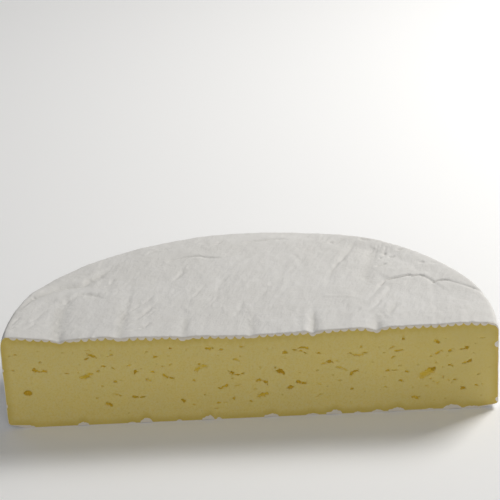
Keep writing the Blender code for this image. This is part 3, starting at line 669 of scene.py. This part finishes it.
def eye_depth(x, z):
    """Depth of the eyes behind the cut, and how near each point lies to one."""
    # torn edges: the outlines waver
    wx = x + 0.60 * noise2(x / 1.25, z / 1.05, 51) + 0.30 * noise2(x / 0.62, z / 0.55, 52)
    wz = z + 0.46 * noise2(x / 1.15, z / 1.05, 53) + 0.26 * noise2(x / 0.62, z / 0.55, 54)
    torn = noise2(x / 0.85, z / 0.7, 55) + 0.4 * noise2(x / 0.45, z / 0.4, 56)
    depth, close = np.zeros_like(x), np.full_like(x, 9.0)
    for ex, ez, w, h, deepest, tilt, bow in eyes:
        reach = w / 2 + 2.5
        near = np.flatnonzero((np.abs(x - ex) < reach) & (np.abs(z - ez) < reach))
        if not len(near):
            continue
        c, s = math.cos(math.radians(tilt)), math.sin(math.radians(tilt))
        tear = 0.3 if deepest > 2.9 else 1.0  # the deep round hole has a clean edge
        dx = x[near] + tear * (wx[near] - x[near]) - ex
        dz = z[near] + tear * (wz[near] - z[near]) - ez
        a, b = c * dx + s * dz, -s * dx + c * dz
        b = b - bow * (a * a - (w / 4) ** 2)
        q = (np.abs(a) / (w / 2)) ** 2 + (np.abs(b) / (h / 2)) ** 2
        ragged = q * (1 + 1.2 * tear * torn[near])
        inside = np.clip(1 - ragged, 0, 1)
        fringe = np.clip(1 - ragged / 2.6, 0, 1)
        depth[near] = np.maximum(depth[near], np.maximum(0.8 * deepest * inside**0.62, 0.16 * min(1.6, deepest) * fringe))
        gap = (np.sqrt(q) - 1) * min(w, h) / 2
        close[near] = np.minimum(close[near], np.where(q > 1, np.maximum(gap, 0), 0))
    return depth, close


# points: fine around the eyes, wider apart elsewhere
FINE, MEDIUM, COARSE = 0.26, 0.75, 1.9


def paste_room(x, z):
    """Distance of a point inside the paste from its outline, roughly."""
    top = np.interp(x, xs_top, zs_top) - z
    low = z - np.interp(x, xb, base_line)
    side = np.minimum(
        np.interp(z, zs, right_line) - x, x - np.interp(z, zs, left_line)
    )
    return np.minimum(np.minimum(top, low), side)


picked = []
for step, low, high in ((FINE, -1, 0.34), (MEDIUM, 0.34, 1.7), (COARSE, 1.7, 99)):
    X, Z = lattice(step, -125, 125, 0, 54)
    _, close = eye_depth(X, Z)
    room = paste_room(X, Z)
    use = (close > low) & (close <= high) & (room > min(0.5, 0.6 * step))
    picked.append(np.stack([X[use], Z[use]], -1))
# close rows along the paste's outline keep its edge even
X, Z = lattice(0.6, -125, 125, 0, 54)
_, close = eye_depth(X, Z)
room = paste_room(X, Z)
use = (close > 1.7) & (room > 0.3) & (room < 1.9)
picked.append(np.stack([X[use], Z[use]], -1))
# the white section itself
X, Z = lattice(0.42, -124, 124, 0, 54)
above = (Z > np.interp(X, xs_top, zs_top) + 0.25) & (Z < np.interp(X, top_x, top_z) - 0.25) & (np.abs(X) < 121)
below = (Z < np.interp(X, xb, base_line) - 0.25) & (Z > channels(X) + 0.25) & (X > foot_left[0] + 1) & (X < foot_right[0] - 1)
use = above | below
picked.append(np.stack([X[use], Z[use]], -1))
inner_points = np.concatenate(picked)

ring2d = points[outline][:, [0, 2]]
coords = np.vstack([ring2d, paste, inner_points])
n_ring, n_paste = len(ring2d), len(paste)
out_v, _, out_f, orig_v, _, orig_f = delaunay_2d_cdt(
    [Vector(p) for p in coords],
    [],
    [list(range(n_ring)), list(range(n_ring, n_ring + n_paste))],
    1,
    1e-5,
    True,
)


def on_face(x, z):
    depth, _ = eye_depth(x, z)
    room = paste_room(x, z)
    # the floor of a tear is rough; the knife leaves the face slightly uneven
    depth = depth * (1 + 0.22 * noise2(x / 0.7, z / 0.6, 61))
    face = 0.16 * noise2(x / 26.0, z / 13.0, 62) + 0.06 * noise2(x / 5.0, z / 3.4, 63)
    face = face * smooth(room / 2.0)
    white = np.where(room < 0, -0.16 - 0.16 * fractal(x / 1.1, z / 0.9, 64, 2), 0.0)
    d = depth * smooth(room / 0.5) + face + white * smooth(-room / 0.35)
    mark = np.clip(depth / 1.0, 0, 1)
    return np.stack([x, d, z], -1), mark


face_ids = adopt(out_v, orig_v, outline, on_face)
groups.append(("face", face_ids[within(out_f, orig_f, 1)], PASTE))
white = [(f, () if 1 in o else o) for f, o in zip(out_f, orig_f)]
groups.append(("section", face_ids[within(*zip(*white))], RIND))

# ---------------------------------------------------------------- base
base_ring = np.concatenate([[rings[-1][-1]], low_ids, rings[-1][:-1]]).astype(int)
pts = []
for k in range(CHANNEL_COUNT):
    for share in (-0.99, -0.8, -0.5, 0.0, 0.5, 0.8, 0.99):
        x = CHANNEL_FIRST + k * RACK_PITCH + share * CHANNEL_HALF
        end = math.sqrt(max(0.0, foot_right[0] ** 2 - x * x)) - 1.5
        for d in np.arange(2.0, end, 3.0):
            pts.append((x, d))
X, Z = lattice(6.0, -112, 112, 3, 112)
use = (np.hypot(X, Z) < foot_right[0] - 3) & (channels(X) == 0)
pts = np.vstack([np.array(pts), np.stack([X[use], Z[use]], -1)])
flat2d = points[base_ring][:, [0, 1]]
out_v, _, out_f, orig_v, _, orig_f = delaunay_2d_cdt(
    [Vector(p) for p in np.vstack([flat2d, pts])], [], [list(range(len(flat2d)))], 1, 1e-5, True
)
base_ids = adopt(
    out_v, orig_v, base_ring, lambda x, d: (np.stack([x, d, channels(x)], -1), np.zeros(len(x)))
)
tri = base_ids[within(out_f, orig_f)]
groups.append(("base", tri[:, ::-1], RIND))

# ---------------------------------------------------------------- one mesh
deep = np.concatenate(deep)
world = points.copy()
world[:, 1] += CUT
world /= 1000.0
faces, material_ids, kinds = [], [], []
for name, index, slot in groups:
    faces += index.tolist()
    material_ids += [slot] * len(index)
    kinds += [name] * len(index)
mesh = bpy.data.meshes.new("cheese")
mesh.from_pydata(world.tolist(), [], faces)
mesh.polygons.foreach_set("material_index", np.array(material_ids, np.int32))

# how close to the rind each point of the paste lies, for its deeper colour there, which is partly painted shade along
# the edges
edge_near = np.zeros(count)
on_cut = np.unique(np.concatenate([g[1].ravel() for g in groups if g[0] == "face"]))
edge_near[on_cut] = np.clip(paste_room(points[on_cut, 0], points[on_cut, 2]), 0, 60)
in_white = np.zeros(count)
in_white[np.unique(np.concatenate([g[1].ravel() for g in groups if g[0] == "section"]))] = 1.0
for name, values in (("crease_shade_and_eye_mark", deep), ("room", edge_near), ("white", in_white)):
    layer = mesh.attributes.new(name, "FLOAT", "POINT")
    layer.data.foreach_set("value", values.astype(np.float32))

# a map in four charts, at true proportions
uv = mesh.uv_layers.new(name="OFBake")
loops = np.zeros(len(mesh.loops), np.int64)
mesh.loops.foreach_get("vertex_index", loops)
starts = np.zeros(len(mesh.polygons), np.int64)
totals = np.zeros(len(mesh.polygons), np.int64)
mesh.polygons.foreach_get("loop_start", starts)
mesh.polygons.foreach_get("loop_total", totals)
kind_of = np.repeat(np.array([{"top": 0, "rim": 1, "face": 2, "section": 2, "base": 3}[k] for k in kinds]), totals)
P = points[loops]
ring_number = np.zeros(count)
ring_run = np.zeros(count)
walk = np.concatenate([[0], np.cumsum(np.hypot(np.diff([p[0] for p in profile]), np.diff([p[1] for p in profile])))]) + 1.5
for k, ring in enumerate(rings):
    ring_number[ring] = 0.0 if k == 0 else walk[k - 1]
    ring_run[ring] = edge_angle * RADIUS
charts = np.zeros((len(loops), 2))
k = 1.0 / 400.0
m = kind_of == 0
charts[m] = np.stack([(P[m, 0] + 126) * k + 0.005, P[m, 1] * k + 0.005], -1)
m = kind_of == 3
charts[m] = np.stack([(P[m, 0] + 126) * k + 0.005, P[m, 1] * k + 0.325], -1)
m = kind_of == 1
charts[m] = np.stack([ring_run[loops[m]] * k + 0.005, ring_number[loops[m]] * k + 0.645], -1)
m = kind_of == 2
charts[m] = np.stack([(P[m, 0] + 126) * 1.5 * k + 0.005, P[m, 2] * 1.5 * k + 0.795], -1)
uv.data.foreach_set("uv", charts.astype(np.float32).ravel())

# points that no face uses go
tidy = bmesh.new()
tidy.from_mesh(mesh)
bmesh.ops.delete(tidy, geom=[v for v in tidy.verts if not v.link_faces], context="VERTS")
tidy.to_mesh(mesh)
tidy.free()
mesh.validate()
mesh.update()
mesh.shade_smooth()
mesh.set_sharp_from_angle(angle=math.radians(38))
cheese = bpy.data.objects.new("cheese", mesh)
bpy.context.scene.collection.objects.link(cheese)


# ---------------------------------------------------------------- materials
class Nodes:
    """A small helper that adds and links shader nodes."""

    def __init__(self, name):
        self.mat = bpy.data.materials.new(name)
        self.mat.use_nodes = True
        self.tree = self.mat.node_tree
        self.shader = self.tree.nodes["Principled BSDF"]

    def add(self, kind, **values):
        node = self.tree.nodes.new(kind)
        for key, value in values.items():
            if hasattr(node, key):
                setattr(node, key, value)
            else:
                node.inputs[key.replace("_", " ")].default_value = value
        return node

    def link(self, a, b):
        self.tree.links.new(a, b)

    def noise(self, coords, scale, detail=3.0, rough=0.5):
        node = self.add("ShaderNodeTexNoise")
        node.inputs["Scale"].default_value = scale
        node.inputs["Detail"].default_value = detail
        node.inputs["Roughness"].default_value = rough
        self.link(coords, node.inputs["Vector"])
        return node.outputs["Fac"]

    def stretch(self, coords, scale, turn=(0, 0, 0)):
        node = self.add("ShaderNodeMapping")
        node.inputs["Scale"].default_value = scale
        node.inputs["Rotation"].default_value = turn
        self.link(coords, node.inputs["Vector"])
        return node.outputs["Vector"]

    def span(self, value, low, high, to_low=0.0, to_high=1.0):
        node = self.add("ShaderNodeMapRange")
        node.interpolation_type = "SMOOTHSTEP"
        for key, number in zip(("From Min", "From Max", "To Min", "To Max"), (low, high, to_low, to_high)):
            node.inputs[key].default_value = number
        self.link(value, node.inputs["Value"])
        return node.outputs["Result"]

    def math(self, operation, a, b):
        node = self.add("ShaderNodeMath")
        node.operation = operation
        for slot, value in zip(node.inputs, (a, b)):
            if isinstance(value, (int, float)):
                slot.default_value = value
            else:
                self.link(value, slot)
        return node.outputs["Value"]

    def mix(self, share, a, b):
        node = self.add("ShaderNodeMix")
        node.data_type = "RGBA"
        for name, value in (("Factor", share), ("A", a), ("B", b)):
            slot = next(s for s in node.inputs if s.name == name and s.enabled and s.type == ("VALUE" if name == "Factor" else "RGBA"))
            if isinstance(value, (int, float)):
                slot.default_value = value
            elif isinstance(value, tuple):
                slot.default_value = (*value, 1.0)
            else:
                self.link(value, slot)
        return next(s for s in node.outputs if s.type == "RGBA")

    def bump(self, height, distance, strength=1.0, normal=None):
        node = self.add("ShaderNodeBump")
        node.inputs["Strength"].default_value = strength
        node.inputs["Distance"].default_value = distance
        self.link(height, node.inputs["Height"])
        if normal is not None:
            self.link(normal, node.inputs["Normal"])
        return node.outputs["Normal"]

    def attribute(self, name):
        node = self.add("ShaderNodeAttribute")
        node.attribute_name = name
        return node.outputs["Fac"]


def rind_material():
    n = Nodes("rind")
    coords = n.add("ShaderNodeTexCoord").outputs["Object"]
    crease_shade_and_eye_mark = n.attribute("crease_shade_and_eye_mark")
    white = n.attribute("white")
    # warm and cool patches of the mould, thin spots where the paste shows through
    wide = n.noise(coords, 22, 4, 0.55)
    fine = n.noise(coords, 210, 5, 0.6)
    colour = n.mix(n.span(wide, 0.35, 0.65), (0.712, 0.698, 0.672), (0.742, 0.730, 0.708))
    colour = n.mix(n.span(fine, 0.38, 0.72, 0.0, 0.35), colour, (0.680, 0.664, 0.630))
    # darker along the creases and grooves: painted shade
    colour = n.mix(n.span(crease_shade_and_eye_mark, 0.05, 1.0, 0.0, 0.55), colour, (0.590, 0.575, 0.535))
    colour = n.mix(white, colour, (0.745, 0.690, 0.600))
    n.link(colour, n.shader.inputs["Base Color"])
    # velvet grain over cloth-like wrinkles
    lean = n.stretch(n.stretch(coords, (1, 1, 1), (0, 0, math.radians(24))), (780, 230, 500))
    wrinkle = n.noise(lean, 1.0, 4, 0.6)
    grain = n.noise(coords, 1900, 3, 0.6)
    felt = n.noise(coords, 620, 4, 0.6)
    normal = n.bump(wrinkle, 0.00034, 0.75)
    normal = n.bump(felt, 0.00028, 0.65, normal)
    normal = n.bump(grain, 0.00010, 0.7, normal)
    n.link(normal, n.shader.inputs["Normal"])
    n.link(n.span(fine, 0.3, 0.7, 0.86, 0.96), n.shader.inputs["Roughness"])
    n.shader.inputs["Specular IOR Level"].default_value = 0.22
    n.shader.inputs["Sheen Weight"].default_value = 0.12
    n.shader.inputs["Sheen Roughness"].default_value = 0.6
    return n.mat


def paste_material():
    n = Nodes("paste")
    coords = n.add("ShaderNodeTexCoord").outputs["Object"]
    crease_shade_and_eye_mark = n.attribute("crease_shade_and_eye_mark")
    room = n.attribute("room")
    wide = n.noise(coords, 45, 3, 0.5)
    mottle = n.noise(coords, 520, 4, 0.65)
    specks = n.noise(coords, 1150, 3, 0.6)
    colour = n.mix(n.span(wide, 0.35, 0.65), (0.720, 0.580, 0.186), (0.705, 0.576, 0.200))
    colour = n.mix(n.span(mottle, 0.42, 0.70, 0.0, 0.40), colour, (0.735, 0.575, 0.150))
    colour = n.mix(n.span(specks, 0.48, 0.66, 0.0, 0.55), colour, (0.690, 0.590, 0.270))
    colour = n.mix(n.span(specks, 0.48, 0.34, 0.0, 0.50), colour, (0.640, 0.490, 0.130))
    # painted shade: a shade darker towards the top rind, and more so towards the right end
    across = n.add("ShaderNodeSeparateXYZ")
    n.link(coords, across.inputs["Vector"])
    top_and_right_painted_shade = n.math("ADD", n.span(across.outputs["Z"], 0.028, 0.046, 0.0, 0.18), n.span(across.outputs["X"], 0.060, 0.112, 0.0, 0.46))
    colour = n.mix(top_and_right_painted_shade, colour, (0.580, 0.464, 0.142))
    # deeper and more golden just under the rind, where the paste is riper; the darkening there is partly painted shade
    # along the edges of the face
    near = n.span(room, 0.0, 4.5, 1.0, 0.0)
    uneven = n.math("MULTIPLY", near, n.span(wide, 0.2, 0.8, 0.55, 1.0))
    colour = n.mix(uneven, colour, (0.585, 0.440, 0.090))
    # ochre inside the eyes
    colour = n.mix(n.span(crease_shade_and_eye_mark, 0.05, 0.7), colour, (0.662, 0.460, 0.040))
    n.link(colour, n.shader.inputs["Base Color"])
    streaks = n.noise(n.stretch(coords, (70, 400, 1100), (0, math.radians(3), 0)), 1.0, 3, 0.55)
    pores = n.noise(coords, 1250, 3, 0.55)
    normal = n.bump(streaks, 0.00012, 0.35)
    normal = n.bump(pores, 0.00010, 0.45, normal)
    n.link(normal, n.shader.inputs["Normal"])
    n.link(n.span(mottle, 0.3, 0.7, 0.50, 0.66), n.shader.inputs["Roughness"])
    n.shader.inputs["Specular IOR Level"].default_value = 0.30
    n.shader.inputs["Subsurface Weight"].default_value = 0.18
    n.shader.inputs["Subsurface Radius"].default_value = (1.0, 0.65, 0.18)
    n.shader.inputs["Subsurface Scale"].default_value = 0.0030
    return n.mat


mesh.materials.append(rind_material())
mesh.materials.append(paste_material())

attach(cheese, "root")
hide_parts("camembert_half")

# ---------------------------------------------------------------- floor, light, camera
floor_mesh = bpy.data.meshes.new("floor")
floor_mesh.from_pydata([(-4, -4, 0), (4, -4, 0), (4, 4, 0), (-4, 4, 0)], [], [(0, 1, 2, 3)])
floor = bpy.data.objects.new("floor", floor_mesh)
bpy.context.scene.collection.objects.link(floor)
floor_mat = Nodes("floor")
floor_mat.shader.inputs["Base Color"].default_value = (0.95, 0.95, 0.95, 1)
floor_mat.shader.inputs["Roughness"].default_value = 0.9
floor_mat.shader.inputs["Specular IOR Level"].default_value = 0.1
floor_mesh.materials.append(floor_mat.mat)


def area_light(name, place, target, size, power, colour=(1, 1, 1)):
    light = bpy.data.lights.new(name, "AREA")
    light.shape = "RECTANGLE"
    light.size, light.size_y = size
    light.energy = power
    light.color = colour
    ob = bpy.data.objects.new(name, light)
    bpy.context.scene.collection.objects.link(ob)
    ob.location = place
    ob.rotation_mode = "QUATERNION"
    ob.rotation_quaternion = (Vector(target) - Vector(place)).to_track_quat("-Z", "Y")
    return ob


area_light("key", (0.68, 0.50, 0.74), (0.0, 0.0, 0.02), (0.42, 0.34), 10.3, (1.0, 0.985, 0.955))
area_light("back_left", (-0.70, 0.80, 0.70), (0.0, 0.0, 0.02), (0.6, 0.5), 0.6, (0.96, 0.98, 1.0))
area_light("front", (-0.06, -1.30, 0.85), (0.0, 0.0, 0.03), (1.0, 0.5), 4.95, (1.0, 0.99, 0.975))

world_light = bpy.data.worlds.new("studio")
world_light.use_nodes = True
world_light.node_tree.nodes["Background"].inputs["Color"].default_value = (0.97, 0.98, 1.0, 1)
world_light.node_tree.nodes["Background"].inputs["Strength"].default_value = 0.16
bpy.context.scene.world = world_light
bpy.context.scene.view_settings.view_transform = "Standard"

# the camera stands well back and looks down on the cut face
FOCAL_PX, DISTANCE = 2400.0, 1178.8
DOWN, TURN, ROLL = math.radians(25.2), math.radians(-0.74), math.radians(2.93)
aim = Vector((2.8, CUT, 94.3))
ahead = Vector((math.sin(TURN) * math.cos(DOWN), math.cos(TURN) * math.cos(DOWN), -math.sin(DOWN)))
flat_right = Vector((math.cos(TURN), -math.sin(TURN), 0.0))
flat_up = flat_right.cross(ahead)
right = math.cos(ROLL) * flat_right - math.sin(ROLL) * flat_up
upward = math.sin(ROLL) * flat_right + math.cos(ROLL) * flat_up
camera_data = bpy.data.cameras.new("camera")
camera_data.sensor_width = 36.0
camera_data.lens = 36.0 * FOCAL_PX / 500.0
camera_data.clip_start, camera_data.clip_end = 0.05, 20.0
camera = bpy.data.objects.new("camera", camera_data)
bpy.context.scene.collection.objects.link(camera)
camera.matrix_world = Matrix.Translation((aim - ahead * DISTANCE) / 1000.0) @ Matrix(
    (right, upward, -ahead)
).transposed().to_4x4()
bpy.context.scene.camera = camera

print("triangles", sum(len(f) - 2 for f in faces), "points", count)
